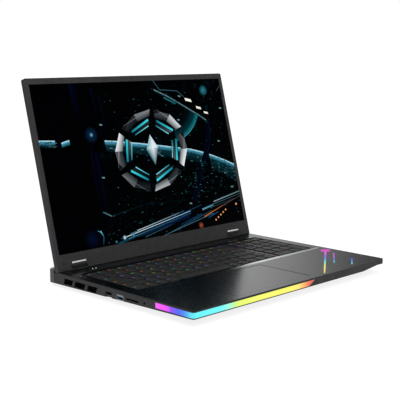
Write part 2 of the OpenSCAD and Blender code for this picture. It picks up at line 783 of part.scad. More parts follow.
module cover_hollow() {
    circle(3.85);
    translate([lid_front + 0.6, 0]) square([3.3 + axis_in - 0.6, cover_top + 1]);
}

// The hinge arm sweeps this sector of the cover as the lid opens and closes.
module arm_sweep() {
    r = 12;
    from = -124;
    to = 50;
    polygon([[0, 0], for (a = [from : (to - from) / 6 : to]) [r * cos(a), r * sin(a)]]);
}

module hinge_covers() lid_frame() color("#3a3b3d") both_sides() difference() {
    along_x(hinge_in, hinge_in + hinge_l) cover_profile();
    along_x(hinge_in + 1, hinge_in + hinge_l - 1) cover_hollow();
    along_x(arm_x[0] - 0.7, arm_x[1] + 0.7) arm_sweep();
}

bar_low = cover_top + 0.1;
bar_high = cover_top + 2.3;
bar_span = [hinge_in + 3, hinge_in + hinge_l - 3];

module hinge_trim_bars() lid_frame() color("#e4e6e8") both_sides()
    box([bar_span[0], lid_front - 0.3, bar_low], [bar_span[1], lid_front + 0.8, bar_high]);

// ---- Lid ----

lid_low = 2.7;
bezel_t = 0.8;
rim = 1;

// Room for one hinge cover in the lid's lower edge.
module hinge_bay() {
    box([hinge_in, -20, -20], [hinge_in + hinge_l, 20, cover_top]);
}

module lid_outline(inset, low) {
    r = lid_r - inset;
    w = lid_w / 2 - inset;
    top = lid_len - inset;
    translate([-w, low]) square([2 * w, top - low - r]);
    translate([-w + r, low]) square([2 * w - 2 * r, top - low]);
    for (s = [-1, 1]) translate([s * (w - r), top - r]) circle(r);
}

module lid_back_cover() lid_frame() color("#2e2f32") difference() {
    along_y(lid_front + bezel_t, lid_back) lid_outline(0, lid_low);
    along_y(lid_front, lid_back - 1.2) lid_outline(rim, lid_low - 1);
    both_sides() hinge_bay();
}

// Side view of the lid's rounded lower edge.
module lip_profile(thick) {
    difference() {
        circle(lip_r);
        if (thick > 0) circle(lip_r - thick);
        translate([-10, 0]) square([20, 10]);
        translate([-10 + lid_front, -10]) square([10, 20]);
    }
}

module lid_bezel() lid_frame() color("#2c2d2f") difference() {
    union() {
        along_y(lid_front, lid_front + bezel_t) difference() {
            lid_outline(0, 0);
            translate([-screen_w / 2, screen_low]) square([screen_w, screen_h]);
        }
        along_x(-lid_w / 2, lid_w / 2) {
            lip_profile(1);
            intersection() {
                circle(lip_r);
                translate([lid_front, -5]) square([bezel_t, 5.01]);
            }
            translate([lip_r - 1, -0.01]) square([1, lid_low]);
        }
        both_sides() along_x(lid_w / 2 - 1, lid_w / 2) {
            lip_profile(0);
            translate([lid_front, -0.01]) square([axis_in + lip_r, lid_low]);
        }
    }
    both_sides() hinge_bay();
    both_sides() box([bar_span[0], -20, 0], [bar_span[1], 0, bar_high]);
    rod_y(lid_front - 1, 0, 0, 271.9, 1.6);
    for (x = [-14, 14]) rod_y(lid_front - 1, 0, x, 271.9, 0.5);
}

panel_z = [17.5, 268.9];

module display_panel() lid_frame() color("#05070a")
    box([-197.3, lid_front + bezel_t, panel_z[0]], [197.3, -0.4, panel_z[1]]);

module backlight_unit() lid_frame() color("#c8ccd0")
    box([-197.3, -0.4, panel_z[0]], [197.3, 1.8, panel_z[1]]);

module display_board() lid_frame() color("#1c4a2a") {
    box([-80, -0.6, 9], [80, 0.4, 15.5]);
    box([-66, 0.4, 10], [-40, 1.6, 14.5]);
}

module display_cable() lid_frame() color("#b08a2e") union() {
    box([-143, 0.6, 6.4], [-66.4, 1.2, 8.2]);
    box([-69, 0.6, 6.4], [-66.4, 1.2, 12]);
}

module webcam_module() lid_frame() color("#101112") {
    box([-26, lid_front + bezel_t, 269.2], [26, -0.5, 274.6]);
    rod_y(lid_front + 0.1, lid_front + bezel_t, 0, 271.9, 1.45);
}

module lid_bumpers() lid_frame() color("#161616") both_sides() {
    box([150, lid_front - 0.4, 270.4], [162, lid_front, 272.8]);
    box([186, lid_front - 0.4, 6], [194, lid_front, 8.4]);
}

top_case();
side_frame();
bottom_cover();
exhaust_block();
exhaust_grilles();
vent_screens();
deck_grille();
light_bar();
light_bar_board();
key_web();
keyboard_plate();
status_lights();
usb_port_left();
network_jack();
card_slot();
audio_jack();
usb_ports_right();
video_port();
usb_c_ports_rear();
power_inlet();
main_board();
processor();
graphics_chip();
heat_pipes();
heat_sinks();
fan_housings();
battery_pack();
speakers();
storage_drive();
memory_modules();
rubber_feet();
case_screws();
hinge_base_brackets();
network_jack_jaw();
touchpad();
power_button();
fan_rotor_left();
fan_rotor_right();
function_keys();
number_keys();
upper_letter_keys();
home_letter_keys();
lower_letter_keys();
left_modifier_keys();
space_bar();
right_modifier_keys();
arrow_keys();
numpad_keys();
lid_back_cover();
lid_bezel();
display_panel();
backlight_unit();
display_board();
display_cable();
webcam_module();
hinge_lid_brackets();
hinge_pins();
hinge_covers();
hinge_trim_bars();
lid_bumpers();
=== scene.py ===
"""Looks for an open gaming laptop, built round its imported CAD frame.

Lengths are millimetres unless a name ends in _M. Laptop coordinates run x to the user's right, y backwards
from the front edge and z up from the table. Lid coordinates start at the hinge axis and run x to the right,
y towards the lid's back and z up the lid. BASE and LID carry both to the frame.
"""
import json
import math
import random

import bmesh
import bpy
from mathutils import Matrix, Vector


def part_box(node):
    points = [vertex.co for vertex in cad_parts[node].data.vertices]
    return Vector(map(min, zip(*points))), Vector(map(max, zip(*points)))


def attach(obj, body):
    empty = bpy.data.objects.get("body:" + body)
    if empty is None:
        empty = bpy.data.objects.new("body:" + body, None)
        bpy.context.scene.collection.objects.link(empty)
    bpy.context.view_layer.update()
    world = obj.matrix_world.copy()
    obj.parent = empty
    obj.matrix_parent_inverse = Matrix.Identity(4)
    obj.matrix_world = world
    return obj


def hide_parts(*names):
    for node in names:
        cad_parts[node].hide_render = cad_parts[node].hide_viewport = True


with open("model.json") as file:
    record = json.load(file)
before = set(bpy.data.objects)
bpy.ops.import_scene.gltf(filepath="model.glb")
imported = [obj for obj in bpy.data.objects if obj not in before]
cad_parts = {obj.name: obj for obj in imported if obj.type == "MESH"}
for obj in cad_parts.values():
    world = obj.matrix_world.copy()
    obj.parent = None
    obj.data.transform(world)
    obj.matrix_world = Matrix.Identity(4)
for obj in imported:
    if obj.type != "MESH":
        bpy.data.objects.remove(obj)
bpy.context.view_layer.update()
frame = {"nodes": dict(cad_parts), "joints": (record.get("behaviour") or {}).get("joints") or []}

MM = 0.001
JOINTS = {joint["name"]: joint for joint in frame["joints"]}
HINGE_M = Vector(JOINTS["lid_hinge"]["pos_m"])
# Degrees the lid leans back from upright. The hinge's lower limit is the shut lid.
LEAN = -90 - JOINTS["lid_hinge"]["range_deg"][0]
FRONT_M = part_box("top_case")[0].y
BASE = Matrix.Translation((0, FRONT_M, 0)) @ Matrix.Scale(MM, 4)
LID = Matrix.Translation(HINGE_M) @ Matrix.Rotation(math.radians(-LEAN), 4, "X") @ Matrix.Scale(MM, 4)
TO_BASE = BASE.inverted()
TO_LID = LID.inverted()


def base_box(node):
    """A CAD node's box in laptop coordinates."""
    low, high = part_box(node)
    return TO_BASE @ low, TO_BASE @ high


def box_round(points):
    """Lowest and highest corner of the box round some points."""
    return [Vector([pick(p[i] for p in points) for i in range(3)]) for pick in (min, max)]


def lid_box(node):
    """A CAD node's box in lid coordinates."""
    return box_round([TO_LID @ v.co for v in frame["nodes"][node].data.vertices])


DECK_Z = base_box("top_case")[1].z
HALF_W = base_box("side_frame")[1].x
# Front faces of the panel and of the frame round it.
PANEL_Y = lid_box("display_panel")[0].y
BEZEL_Y = lid_box("lid_bezel")[0].y
# Width and height of the screen's picture, and its lower edge above the hinge axis.
PICTURE_W = 390.1
PICTURE_H = 247.4
PICTURE_Z = 20
# Vertices closer than this are one.
SAME_M = 0.000001
# Height of the grain on a surface.
GRAIN_M = 0.0002


# ---- Materials ----

def linear(colour):
    """Linear values of a colour given as it looks on a display, from 0 to 255."""
    return tuple(pow(c / 255, 2.2) for c in colour)


def add_node(material, kind, **settings):
    """A node of a material or world. Each setting is one of its properties or sockets."""
    node = material.node_tree.nodes.new(kind)
    for key, value in settings.items():
        if hasattr(node, key):
            setattr(node, key, value)
        else:
            node.inputs[key.replace("_", " ")].default_value = value
    return node


def join(material, source, target):
    """A link from one socket to another."""
    material.node_tree.links.new(source, target)


def shader_of(material):
    return material.node_tree.nodes["Principled BSDF"]


def object_place(material, stretch=(1, 1, 1)):
    """The object's own coordinates in metres, stretched."""
    place = add_node(material, "ShaderNodeTexCoord")
    mapping = add_node(material, "ShaderNodeMapping")
    mapping.inputs["Scale"].default_value = stretch
    join(material, place.outputs["Object"], mapping.inputs["Vector"])
    return mapping.outputs["Vector"]


def noise(material, place, scale, detail=3):
    """Cloudy noise from 0 to 1. A larger scale is finer."""
    node = add_node(material, "ShaderNodeTexNoise")
    node.inputs["Scale"].default_value = scale
    node.inputs["Detail"].default_value = detail
    join(material, place, node.inputs["Vector"])
    return node.outputs["Fac"]


def ramp(material, factor, stops):
    """A colour ramp. Each stop is (position, display colour)."""
    node = add_node(material, "ShaderNodeValToRGB")
    elements = node.color_ramp.elements
    while len(elements) < len(stops):
        elements.new(0.5)
    for element, (position, colour) in zip(elements, stops):
        element.position = position
        element.color = (*linear(colour), 1)
    join(material, factor, node.inputs["Fac"])
    return node.outputs["Color"]


def spread(material, factor, low, high, start=0.3, end=0.7):
    """A factor's range from start to end, stretched to run from low to high."""
    node = add_node(material, "ShaderNodeMapRange")
    for name, value in (("From Min", start), ("From Max", end), ("To Min", low), ("To Max", high)):
        node.inputs[name].default_value = value
    join(material, factor, node.inputs["Value"])
    return node.outputs["Result"]


def finish(name, colour, roughness, metallic=0.0, grain=2500, depth=0.15, mottle=0.12,
           stretch=(1, 1, 1), coat=0.0, coat_roughness=0.1, specular=0.5):
    """Moulded plastic or satin metal: mottled colour, uneven roughness and a fine grain."""
    material = bpy.data.materials.new(name)
    material.use_nodes = True
    shader = shader_of(material)
    place = object_place(material, stretch)
    dark = [c * (1 - mottle) for c in colour]
    light = [min(c * (1 + mottle), 255) for c in colour]
    cloud = noise(material, place, grain / 40)
    join(material, ramp(material, cloud, [(0.3, dark), (0.7, light)]), shader.inputs["Base Color"])
    patches = noise(material, place, grain / 12)
    rough = spread(material, patches, max(roughness - 0.05, 0.02), roughness + 0.05)
    join(material, rough, shader.inputs["Roughness"])
    bump = add_node(material, "ShaderNodeBump")
    bump.inputs["Strength"].default_value = depth
    bump.inputs["Distance"].default_value = GRAIN_M
    join(material, noise(material, place, grain, 2), bump.inputs["Height"])
    join(material, bump.outputs["Normal"], shader.inputs["Normal"])
    shader.inputs["Metallic"].default_value = metallic
    shader.inputs["Specular IOR Level"].default_value = specular
    shader.inputs["Coat Weight"].default_value = coat
    shader.inputs["Coat Roughness"].default_value = coat_roughness
    return material


def lit(name, colour_of, strength, base=(20, 20, 22), roughness=0.35, grain=1500, specular=0.3):
    """A lit surface. colour_of(material) gives the socket of the light's colour."""
    material = finish(name, base, roughness, grain=grain, depth=0.05, specular=specular)
    shader = shader_of(material)
    join(material, colour_of(material), shader.inputs["Emission Color"])
    shader.inputs["Emission Strength"].default_value = strength
    return material


def project(material, weights):
    """Distance in metres along a direction of the object's coordinates, times the weights."""
    place = add_node(material, "ShaderNodeTexCoord")
    dot = add_node(material, "ShaderNodeVectorMath", operation="DOT_PRODUCT")
    dot.inputs[1].default_value = weights
    join(material, place.outputs["Object"], dot.inputs[0])
    return dot.outputs["Value"]


def along(material, weights, start, end):
    """0 to 1 along a direction, from start to end in millimetres of the frame."""
    return spread(material, project(material, weights), 0, 1, start * MM, end * MM)


RAINBOW = [(0.0, (255, 90, 60)), (0.2, (255, 190, 40)), (0.4, (120, 230, 70)), (0.6, (60, 200, 230)),
           (0.8, (110, 110, 255)), (1.0, (230, 90, 230))]
# Length of one run of the rainbow across the keyboard.
RAINBOW_RUN = 46

# Light bar colours, each at its distance in millimetres along the bar from its rear end.
BAR_STOPS = [
    (0, (250, 100, 250)), (14, (254, 82, 254)), (23, (224, 84, 254)), (29, (140, 78, 246)),
    (41, (80, 96, 248)), (50, (78, 130, 242)), (57, (80, 170, 248)), (64, (92, 226, 252)),
    (74, (100, 248, 254)),
    (118, (112, 248, 250)), (133, (168, 254, 222)), (142, (200, 250, 130)), (153, (232, 254, 110)),
    (200, (252, 254, 108)), (250, (255, 248, 106)), (268, (255, 234, 116)), (282, (254, 172, 96)),
    (292, (236, 112, 84)), (305, (214, 90, 84)),
]


def bar_gradient(material):
    """Colours along the light bar, from its rear end round the corner to its slanted end."""
    high = base_box("light_bar")[1]
    span = high.y + high.x + HALF_W
    start = -HALF_W - (FRONT_M / MM + high.y)
    factor = along(material, (1, -1, 0), start, start + span)
    return ramp(material, factor, [(min(at / span, 1), colour) for at, colour in BAR_STOPS])


def rainbow_wave(material):
    """Rainbow bands that repeat across the keyboard."""
    wave = add_node(material, "ShaderNodeMath", operation="PINGPONG")
    wave.inputs[1].default_value = 1
    runs = project(material, [weight / (RAINBOW_RUN * MM) for weight in (1, 0.7, 0)])
    join(material, runs, wave.inputs[0])
    return ramp(material, wave.outputs[0], RAINBOW)


def painted(material):
    """The colour given to each corner of the mesh."""
    node = add_node(material, "ShaderNodeAttribute", attribute_name="paint")
    return node.outputs["Color"]


def blend(material, factor, first, second):
    """A colour from first to second, by a factor from 0 to 1."""
    node = add_node(material, "ShaderNodeMix", data_type="RGBA")
    join(material, factor, node.inputs[0])
    join(material, first, node.inputs[6])
    if isinstance(second, tuple):
        node.inputs[7].default_value = second
    else:
        join(material, second, node.inputs[7])
    return node.outputs[2]


def wallpaper(material):
    """Dark backdrop of the picture: dim panels and shafts of blue light."""
    place = object_place(material)
    blocks = add_node(material, "ShaderNodeTexVoronoi", distance="CHEBYCHEV")
    blocks.inputs["Scale"].default_value = 130
    join(material, place, blocks.inputs["Vector"])
    panels = ramp(material, blocks.outputs["Color"], [
        (0.0, (0, 1, 3)), (0.55, (1, 4, 7)), (0.8, (4, 13, 17)), (0.97, (10, 30, 36)), (1.0, (40, 96, 104))])
    shafts = noise(material, object_place(material, (90, 0.5, 0.5)), 1.0, 2)
    glow = ramp(material, shafts, [(0.5, (0, 0, 0)), (0.62, (2, 5, 16)), (0.72, (5, 12, 36))])
    station = blend(material, along(material, (1, 0, 0), -120, -30), glow, panels)
    clouds = spread(material, noise(material, place, 14), 1, 0, 0.42, 0.62)
    return blend(material, clouds, station, (0.0, 0.0001, 0.0004, 1))


def led_glow(material):
    """Cold white of the status lights."""
    clouds = noise(material, object_place(material), 900)
    return ramp(material, clouds, [(0.3, (190, 232, 240)), (0.7, (225, 248, 252))])


def lip_painted_highlight():
    """Bare metal of the keyboard's chamfer, with a painted highlight: dark at the left, bright towards the
    right where the light behind the laptop would reflect.
    """
    dark, bright = (34, 36, 38), (214, 216, 218)
    material = finish("lip_painted_highlight", bright, 0.26, metallic=0.95, grain=1600, depth=0.0, mottle=0.02)
    # Painted highlight: the base colour brightens from left to right.
    painted_highlight = ramp(material, along(material, (1, 0, 0), -20, 60), [(0.0, dark), (1.0, bright)])
    join(material, painted_highlight, shader_of(material).inputs["Base Color"])
    return material


def make_materials():
    """Every material, by its short name."""
    return {
        "deck": finish("deck_metal", (26, 29, 32), 0.24, metallic=0.85, grain=4000, depth=0.0, mottle=0.02,
                       coat=0.25, coat_roughness=0.2),
        "touch": finish("touchpad_glass", (28, 31, 34), 0.23, metallic=0.85, grain=4000, depth=0.0,
                        mottle=0.02, coat=0.25, coat_roughness=0.18),
        "lip": lip_painted_highlight(),
        "side": finish("side_plastic", (43, 43, 43), 0.55, specular=0.25, grain=2600, depth=0.2),
        "cover": finish("bottom_plastic", (30, 30, 31), 0.6, specular=0.2, grain=1800, depth=0.3),
        "block": finish("block_plastic", (70, 70, 72), 0.5, specular=0.3, grain=2200, depth=0.2),
        "grille": finish("grille_plastic", (30, 30, 32), 0.55, grain=2400),
        "vent": finish("vent_plastic", (4, 4, 5), 0.85, grain=2400, specular=0.05),
        "board": finish("board_mask", (20, 70, 42), 0.35, grain=900, depth=0.3, mottle=0.3, coat=0.3),
        "chip": finish("chip_metal", (160, 164, 168), 0.3, metallic=1, grain=3000, stretch=(1, 20, 1)),
        "copper": finish("copper", (196, 122, 84), 0.3, metallic=1, grain=1500, stretch=(1, 12, 12)),
        "fin": finish("fin_metal", (52, 54, 56), 0.5, metallic=0.8, grain=2500, stretch=(1, 1, 20)),
        "fan": finish("fan_plastic", (28, 28, 30), 0.45, grain=2000),
        "battery": finish("battery_wrap", (34, 34, 38), 0.4, grain=700, depth=0.3),
        "speaker": finish("speaker_plastic", (30, 30, 30), 0.5, grain=2200),
        "cap": finish("key_plastic", (39, 39, 39), 0.55, specular=0.25, grain=3800, depth=0.12, mottle=0.08),
        "bed": lit("key_bed", rainbow_wave, 0.012, base=(22, 22, 23)),
        "plate": finish("plate_metal", (30, 30, 33), 0.45, metallic=0.6),
        "led": lit("status_led", led_glow, 2.0),
        "steel": finish("port_steel", (176, 182, 190), 0.28, metallic=1, grain=2600, stretch=(12, 1, 12)),
        "socket": finish("socket_plastic", (22, 22, 23), 0.5),
        "blue": finish("tongue_plastic", (60, 80, 124), 0.4, grain=2600),
        "gold": finish("contact_gold", (220, 180, 96), 0.25, metallic=1, grain=3000),
        "rubber": finish("rubber", (20, 20, 20), 0.8, grain=1300, depth=0.5),
        "screw": finish("screw_steel", (60, 60, 62), 0.35, metallic=1, grain=3000),
        "hinge": finish("hinge_steel", (130, 132, 136), 0.35, metallic=1, grain=2500, stretch=(12, 1, 1)),
        "bumper": finish("bumper_rubber", (47, 47, 47), 0.7, grain=1300, depth=0.3),
        "hinge_cover": finish("hinge_plastic", (48, 48, 48), 0.6, specular=0.2, grain=2600),
        "trim": finish("trim_silver", (238, 239, 241), 0.35, metallic=0.2, grain=3000, depth=0.03,
                       stretch=(14, 1, 1)),
        "lid": finish("lid_metal", (40, 41, 42), 0.5, metallic=0.25, specular=0.3, grain=4200, depth=0.08,
                      mottle=0.06, stretch=(1, 1, 14)),
        "bezel": finish("bezel_plastic", (53, 53, 53), 0.6, specular=0.25, grain=3200, depth=0.22,
                        mottle=0.06),
        # Dark rubber, also used as the painted shade in the touchpad's seam.
        "gasket": finish("gasket_rubber_and_seam_shade", (14, 14, 14), 0.75, grain=2200),
        "glass": finish("lens_glass", (10, 12, 18), 0.05, grain=900, depth=0.0, coat=1.0,
                        coat_roughness=0.03),
        "backlight": finish("backlight_white", (205, 208, 212), 0.4),
        "cable": finish("cable_film", (176, 128, 60), 0.35, grain=800, stretch=(1, 30, 30)),
        "bar": lit("light_bar", bar_gradient, 1.0, base=(8, 8, 9), roughness=0.4),
        "legend": lit("legend_light", rainbow_wave, 0.42, base=(40, 40, 42)),
        "screen": lit("screen_glass", wallpaper, 1.0, base=(0, 0, 1), roughness=0.3, specular=0.05),
        "picture": lit("picture_light", painted, 1.0, base=(0, 0, 1), roughness=0.3, specular=0.05),
        # Glow of the painted reflections on the palm rest.
        "streak": lit("streak_painted_reflection", painted, 0.85, roughness=0.2),
    }


MATERIALS = make_materials()

NODE_MATERIALS = {
    "top_case": "deck", "side_frame": "side", "bottom_cover": "cover", "exhaust_block": "block",
    "exhaust_grilles": "grille", "vent_screens": "vent", "deck_grille": "grille", "light_bar": "bar",
    "light_bar_board": "board", "key_web": "bed", "keyboard_plate": "plate", "status_lights": "led",
    "usb_port_left": "steel", "network_jack": "socket", "card_slot": "socket", "audio_jack": "socket",
    "usb_ports_right": "steel", "video_port": "steel", "usb_c_ports_rear": "steel", "power_inlet": "socket",
    "main_board": "board", "processor": "chip", "graphics_chip": "chip", "heat_pipes": "copper",
    "heat_sinks": "fin", "fan_housings": "fan", "battery_pack": "battery", "speakers": "speaker",
    "storage_drive": "board", "memory_modules": "board", "rubber_feet": "rubber", "case_screws": "screw",
    "hinge_base_brackets": "hinge", "network_jack_jaw": "socket", "touchpad": "touch",
    "fan_rotor_left": "fan", "fan_rotor_right": "fan", "lid_back_cover": "lid", "lid_bezel": "bezel",
    "display_panel": "screen",
    "backlight_unit": "backlight", "display_board": "board", "display_cable": "cable",
    "webcam_module": "socket", "hinge_lid_brackets": "hinge", "hinge_pins": "hinge",
    "hinge_covers": "hinge_cover", "hinge_trim_bars": "trim", "lid_bumpers": "bumper",
}

# Width of the rounded edge on CAD nodes whose edges show, and the least angle that counts as an edge.
EDGE_ANGLE = 40
EDGES = {
    "top_case": 0.4, "side_frame": 0.2, "exhaust_block": 0.5, "lid_back_cover": 0.5, "lid_bezel": 0.2,
    "hinge_covers": 0.3, "hinge_trim_bars": 0.2, "touchpad": 0.15, "rubber_feet": 0.4,
}


def dress_nodes():
    """Materials for the CAD nodes, and rounded edges where they show."""
    for node, material in NODE_MATERIALS.items():
        data = frame["nodes"][node].data
        data.materials.clear()
        data.materials.append(MATERIALS[material])
    for node, width in EDGES.items():
        thing = frame["nodes"][node]
        weld = thing.modifiers.new("weld", "WELD")
        weld.merge_threshold = 2 * SAME_M
        bevel = thing.modifiers.new("edge", "BEVEL")
        bevel.width = width * MM
        bevel.segments = 2
        bevel.limit_method = "ANGLE"
        bevel.angle_limit = math.radians(EDGE_ANGLE)
        bevel.harden_normals = True


# ---- Mesh helpers ----

def make_piece(name, body, place, materials, build, smooth_under=35):
    """A piece built by build(bm) in millimetres, moved to its place and riding on a body."""
    bm = bmesh.new()
    build(bm)
    bm.transform(place)
    bmesh.ops.recalc_face_normals(bm, faces=bm.faces)
    mesh = bpy.data.meshes.new(name)
    bm.to_mesh(mesh)
    bm.free()
    for material in materials:
        mesh.materials.append(MATERIALS[material])
    mesh.shade_smooth()
    mesh.set_sharp_from_angle(angle=math.radians(smooth_under))
    thing = bpy.data.objects.new(name, mesh)
    bpy.context.scene.collection.objects.link(thing)
    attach(thing, body)
    return thing


def round_ring(bm, low, high, inset, z, radius, steps=4):
    """One ring of vertices round a rectangle with rounded corners."""
    x0, y0, x1, y1 = low[0] + inset, low[1] + inset, high[0] - inset, high[1] - inset
    radius = min(radius, (x1 - x0) / 2, (y1 - y0) / 2)
    ring = []
    corners = [(x1, y1, 0), (x0, y1, 90), (x0, y0, 180), (x1, y0, 270)]
    for x, y, start in corners:
        cx = x - radius if x == x1 else x + radius
        cy = y - radius if y == y1 else y + radius
        for step in range(steps + 1):
            angle = math.radians(start + 90 * step / steps)
            ring.append(bm.verts.new((cx + radius * math.cos(angle), cy + radius * math.sin(angle), z)))
    return ring


def bridge(bm, rings, material=0, closed=True):
    """Faces between successive rings, with the two ends closed."""
    for first, second in zip(rings, rings[1:]):
        count = len(first)
        for i in range(count):
            j = (i + 1) % count
            face = bm.faces.new((first[i], first[j], second[j], second[i]))
            face.material_index = material
    if closed:
        for ring in (rings[0], rings[-1]):
            bm.faces.new(ring).material_index = material


def block(bm, low, high, inset=0.1, material=0):
    """A box with its upper and lower edges chamfered."""
    rings = [round_ring(bm, low, high, inset, low[2], inset, 1),
             round_ring(bm, low, high, 0, low[2] + inset, inset, 1),
             round_ring(bm, low, high, 0, high[2] - inset, inset, 1),
             round_ring(bm, low, high, inset, high[2], inset, 1)]
    bridge(bm, rings, material)


def lathe(bm, profile, centre, axis, turns=24, material=0):
    """A turned shape. profile lists (radius, height along the axis)."""
    turn = Vector((0, 0, 1)).rotation_difference(Vector(axis)).to_matrix()
    rings = []
    for radius, height in profile:
        ring = []
        for i in range(turns):
            angle = 2 * math.pi * i / turns
            point = Vector((radius * math.cos(angle), radius * math.sin(angle), height))
            ring.append(bm.verts.new(Vector(centre) + turn @ point))
        rings.append(ring)
    bridge(bm, rings, material)


# ---- Keyboard ----

def solids(node):
    """Boxes of a node's separate solids in laptop coordinates, row by row from the back, left to right."""
    bm = bmesh.new()
    bm.from_mesh(frame["nodes"][node].data)
    bmesh.ops.remove_doubles(bm, verts=bm.verts, dist=SAME_M)
    found = []
    waiting = set(bm.verts)
    while waiting:
        stack = [waiting.pop()]
        group = []
        while stack:
            vertex = stack.pop()
            group.append(TO_BASE @ vertex.co)
            for edge in vertex.link_edges:
                other = edge.other_vert(vertex)
                if other in waiting:
                    waiting.remove(other)
                    stack.append(other)
        found.append(box_round(group))
    bm.free()
    return sorted(found, key=lambda pair: (-round(pair[0].y), pair[0].x))


# Insets of a keycap's shoulder and of its top.
CAP_SKIRT = 0.35
CAP_TOP = 0.8
# Legends: distance from a cap's left and rear edges, sizes, and a capital's share of the size.
LEGEND_MARGIN = 2.6
LEGEND_SMALL = 4.2
LEGEND_LARGE = 5.6
CAPITAL = 0.72
DASH_LENGTH = 4.6
# Legends drawn so far, by text and size.
GLYPHS = {}


def add_cap(bm, low, high):
    """One keycap: upright skirt, rounded shoulder and a shallow dish."""
    top = high.z
    rings = [
        round_ring(bm, low, high, 0.05, low.z, 0.9),
        round_ring(bm, low, high, 0, low.z + 0.15, 1.0),
        round_ring(bm, low, high, 0.05, low.z + 0.75, 1.0),
        round_ring(bm, low, high, CAP_SKIRT, top - 0.16, 1.2),
        round_ring(bm, low, high, CAP_SKIRT + 0.22, top - 0.04, 1.4),
        round_ring(bm, low, high, CAP_TOP, top, 1.6),
        round_ring(bm, low, high, CAP_TOP + 1.4, top - 0.05, 1.8),
        round_ring(bm, low, high, CAP_TOP + 3.2, top - 0.13, 1.4),
    ]
    bridge(bm, rings)


def glyph(text, height):
    """Points and faces of a legend in the built-in typeface, as a thin closed plate."""
    if (text, height) not in GLYPHS:
        curve = bpy.data.curves.new("glyph", "FONT")
        curve.body = text
        curve.size = height
        curve.extrude = 0.09
        curve.resolution_u = 2
        thing = bpy.data.objects.new("glyph", curve)
        mesh = thing.to_mesh()
        points = [v.co.copy() for v in mesh.vertices]
        faces = [tuple(p.vertices) for p in mesh.polygons]
        thing.to_mesh_clear()
        bpy.data.objects.remove(thing)
        bpy.data.curves.remove(curve)
        GLYPHS[(text, height)] = (points, faces)
    return GLYPHS[(text, height)]


def add_glyph(bm, text, low, high):
    """A character near the rear left corner of the cap in the given box."""
    height = LEGEND_SMALL if len(text) > 1 else LEGEND_LARGE
    corner = Vector((low.x + LEGEND_MARGIN, high.y - LEGEND_MARGIN - height * CAPITAL, high.z - 0.12))
    points, faces = glyph(text, height)
    verts = [bm.verts.new(corner + p) for p in points]
    for face in faces:
        bm.faces.new([verts[i] for i in face])


def add_dash(bm, low, high):
    """A plain lit dash, the mark of a key that has no character."""
    x = low.x + LEGEND_MARGIN
    y = high.y - 2 * LEGEND_MARGIN
    block(bm, (x, y, high.z - 0.2), (x + DASH_LENGTH, y + 0.9, high.z - 0.01), 0.02)


# Characters on each row of caps, from left to right. A space stands for a plain dash.
LEGENDS = {
    "function_keys": [" "] + ["F%d" % n for n in range(1, 13)] + [" "] * 5,
    "number_keys": list("`1234567890-=") + [" "],
    "upper_letter_keys": [" "] + list("QWERTYUIOP[]") + [" "],
    "home_letter_keys": [" "] + list("ASDFGHJKL;'") + [" "],
    "lower_letter_keys": [" "] + list("ZXCVBNM,./") + [" "],
    "left_modifier_keys": [" "] * 4,
    "space_bar": [],
    "right_modifier_keys": [" "] * 2,
    "arrow_keys": list("^<v>"),
    "numpad_keys": [" "] + list("/*-789") + ["+"] + list("456123") + [" ", "0", "."],
    "power_button": ["O"],
}


def make_keys():
    """Dished caps with lit legends, in place of each key group's plain blocks."""
    for node, texts in LEGENDS.items():
        caps = solids(node)

        def build_caps(bm):
            for low, high in caps:
                add_cap(bm, low, high)

        def build_legends(bm):
            for (low, high), text in zip(caps, texts):
                if text == " ":
                    add_dash(bm, low, high)
                else:
                    add_glyph(bm, text, low, high)

        group = make_piece(node + "_caps", node, BASE, ["cap"], build_caps)
        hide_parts(node)
        if texts:
            marks = make_piece(node + "_legends", node, BASE, ["legend"], build_legends)


# ---- Palm rest ----

STREAK_THICK = 0.08
LIP_DEPTH = 5.4


def strip(bm, layer, sections, z):
    """A thin painted strip above z. Each section is (left point, right point, colour)."""
    rings = []
    for (x0, y0), (x1, y1), colour in sections:
        top = z + STREAK_THICK
        ring = [bm.verts.new(point) for point in ((x0, y0, z), (x1, y1, z), (x1, y1, top), (x0, y0, top))]
        for vertex in ring:
            vertex[layer] = (*linear(colour), 1)
        rings.append(ring)
    bridge(bm, rings)


def build_lip(bm):
    """Chamfer from the palm rest up to the keyboard's front edge, lower towards the left."""
    low = base_box("key_web")[0]
    back = low.y - 0.2
    front = back - LIP_DEPTH
    left, right = low.x + 4, HALF_W - 9
    rings = []
    for x, rise in ((left, 0.03), (-20, 0.1), (40, 0.75), (right - 2, 0.75), (right, 0.4)):
        rings.append([bm.verts.new((x, y, DECK_Z + z)) for y, z in (
            (front, -0.1), (front, 0.02), (back - 0.5, rise), (back, rise - 0.1), (back, -0.1))])
    bridge(bm, rings)


def build_rim(bm):
    """Slim rim along the left edge of the keyboard's recess."""
    low, high = base_box("key_web")
    x = low.x + 1.4
    rings = []
    for y, rise in ((low.y + 2, 0.05), (low.y + 8, 0.35), (high.y - 8, 0.35), (high.y - 2, 0.05)):
        rings.append([bm.verts.new((x + dx, y, DECK_Z + z)) for dx, z in (
            (-1.2, -0.05), (-1.1, 0.03), (-0.3, rise), (0.3, rise), (0.3, -0.05))])
    bridge(bm, rings)


def build_edge_line(bm):
    """Dark joint along the deck's left edge."""
    low, high = base_box("top_case")
    block(bm, (low.x + 0.25, 3, DECK_Z - 0.3), (low.x + 1.5, high.y - 34, DECK_Z + 0.03), 0.02)


def build_seam_shade(bm):
    """Dark strip in the gap beside and behind the touchpad, painted shade of that groove."""
    low, high = base_box("touchpad")
    top = DECK_Z + 0.03
    inner = ((low.x, low.y), (low.x, high.y), (high.x, high.y), (high.x, low.y))
    rings = []
    for (x, y), (dx, dy) in zip(inner, ((-1, 0), (-1, 1), (1, 1), (1, 0))):
        rings.append([bm.verts.new((x + dx * w, y + dy * w, top - z)) for w, z in (
            (0.12, 1.2), (0.12, 0), (1.1, 0), (1.1, 0.3))])
    bridge(bm, rings)
